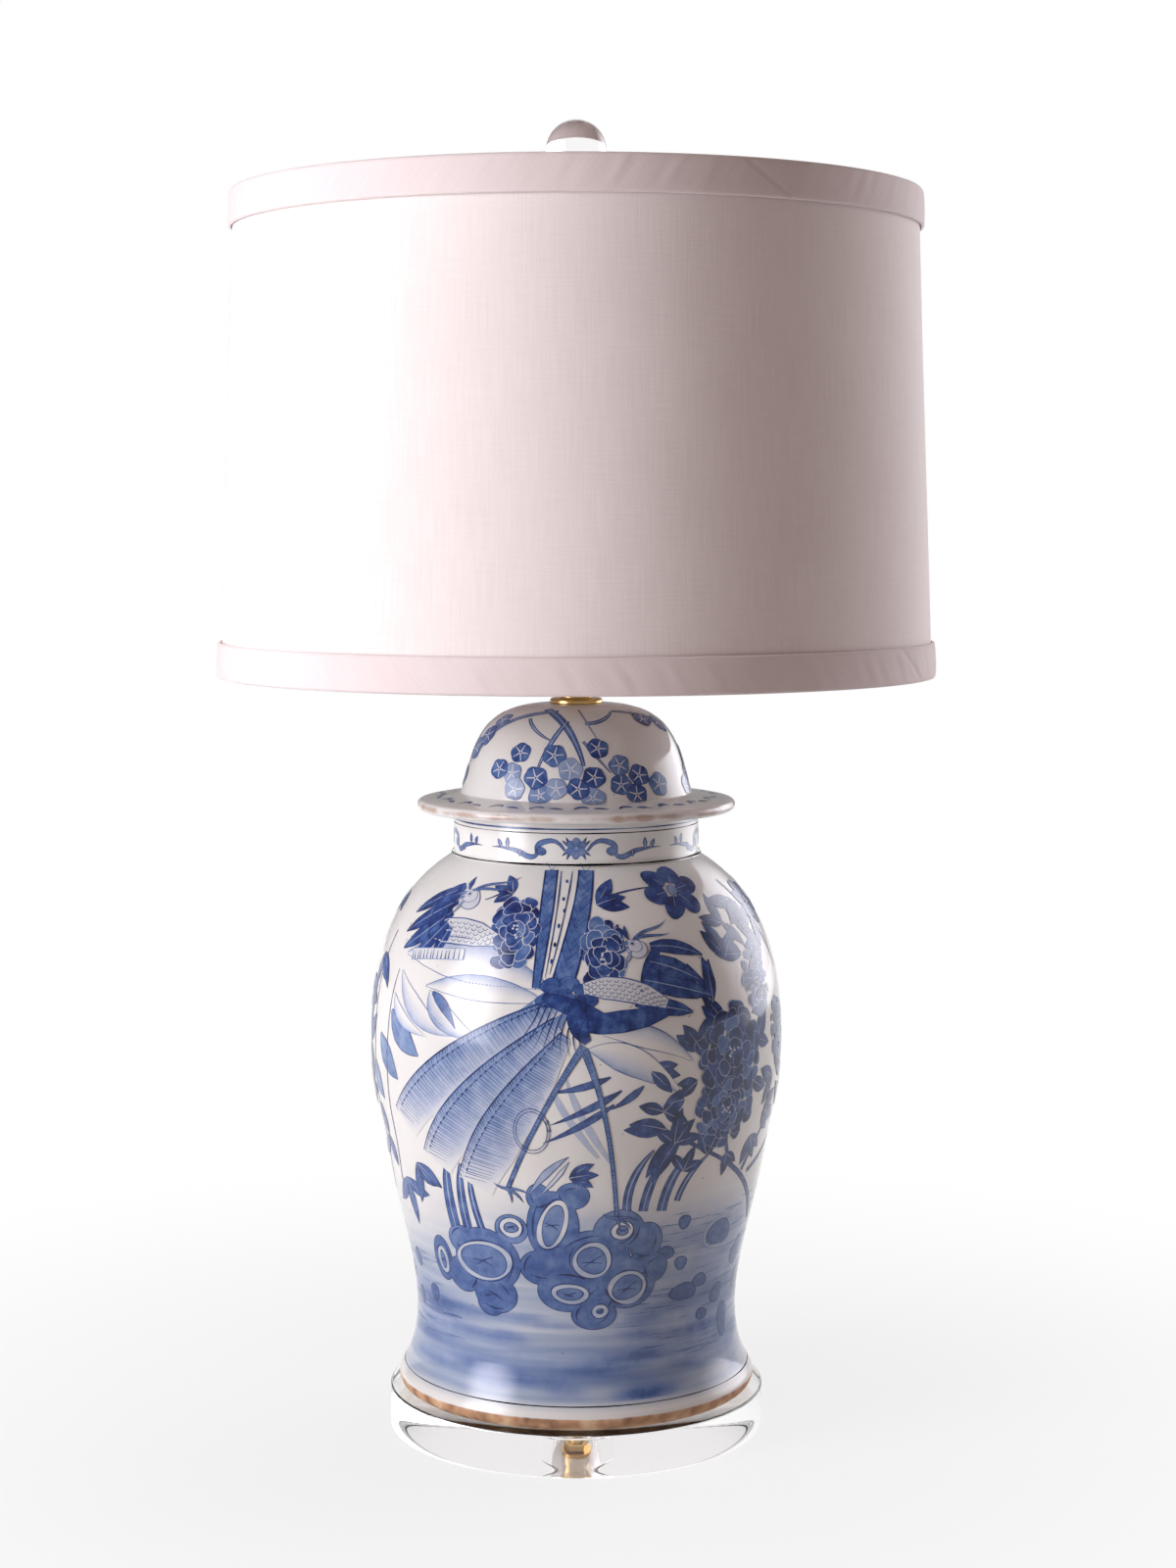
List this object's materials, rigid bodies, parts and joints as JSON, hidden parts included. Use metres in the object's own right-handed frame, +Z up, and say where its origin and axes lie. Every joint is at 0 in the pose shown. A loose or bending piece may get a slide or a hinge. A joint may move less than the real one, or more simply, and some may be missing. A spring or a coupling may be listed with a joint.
{
  "type": "table lamp",
  "caption": "Table lamp made from a lidded porcelain ginger jar on a clear disc base, with a harp, a drum shade and a clear ball finial.",
  "frame": {"origin": "centre of the underside of the clear disc base", "axes": "+Z up along the lamp's pipe; the lamp's front, where the switch knob points, faces -Y"},
  "size_m": [0.4318, 0.4318, 0.7893],
  "materials": {
    "clear_acrylic": "clear, polished",
    "brass": "polished, lacquered",
    "zinc_steel": "zinc plated",
    "porcelain": "clear gloss glaze over blue painting",
    "rubber": "matt, pale",
    "fibre": "matt fibre",
    "dark_moulding": "satin moulded",
    "aluminium": "bright",
    "solder": "dull",
    "frosted_glass": "frosted white",
    "painted_wire": "gloss white",
    "shade_cloth": "slubbed off-white cloth on a stiff backing",
    "trim_cloth": "the same cloth, on the bias"
  },
  "bodies": {
    "lamp": {"acrylic_base": "clear_acrylic", "base_washer": "brass", "base_nut": "brass", "lamp_pipe": "zinc_steel", "jar_body": "porcelain", "cord_grommet": "rubber", "jar_lid": "porcelain", "vase_cap": "brass", "brass_neck": "brass", "harp_saddle": "zinc_steel", "socket_cap": "brass", "cap_set_screw": "zinc_steel", "socket_shell": "brass", "socket_liner": "fibre", "switch_body": "dark_moulding", "screw_shell": "aluminium", "spring_contact": "brass"},
    "harp": {"harp_bow": "zinc_steel", "harp_stud": "brass"},
    "ferrule_left": {"ferrule_left": "brass"},
    "ferrule_right": {"ferrule_right": "brass"},
    "shade": {"spider": "painted_wire", "top_ring": "painted_wire", "bottom_ring": "painted_wire", "shade_drum": "shade_cloth", "top_trim": "trim_cloth", "bottom_trim": "trim_cloth"},
    "finial": {"finial_base": "brass", "finial_ball": "clear_acrylic"},
    "bulb": {"bulb_contact": "solder", "bulb_screw_cap": "aluminium", "bulb_globe": "frosted_glass"},
    "switch": {"switch_shaft": "aluminium", "switch_knob": "dark_moulding"}
  },
  "joints": [
    {"name": "harp_lift", "type": "slide", "parent": "lamp", "child": "harp", "axis": [0, 0, 1], "range_m": [0, 0.03]},
    {"name": "ferrule_left_lift", "type": "slide", "parent": "harp", "child": "ferrule_left", "axis": [0, 0, 1], "range_m": [0, 0.014]},
    {"name": "ferrule_right_lift", "type": "slide", "parent": "harp", "child": "ferrule_right", "axis": [0, 0, 1], "range_m": [0, 0.014]},
    {"name": "shade_turn", "type": "hinge", "parent": "harp", "child": "shade", "pos_m": [0, 0, 0.733], "axis": [0, 0, 1], "continuous": true},
    {"name": "finial_unscrew", "type": "hinge", "parent": "harp", "child": "finial", "pos_m": [0, 0, 0.735], "axis": [0, 0, 1], "range_deg": [0, 3600]},
    {"name": "bulb_unscrew", "type": "hinge", "parent": "lamp", "child": "bulb", "pos_m": [0, 0, 0.525], "axis": [0, 0, 1], "range_deg": [0, 1080]},
    {"name": "switch_turn", "type": "hinge", "parent": "lamp", "child": "switch", "pos_m": [0, -0.0212, 0.5055], "axis": [0, -1, 0], "continuous": true}
  ]
}
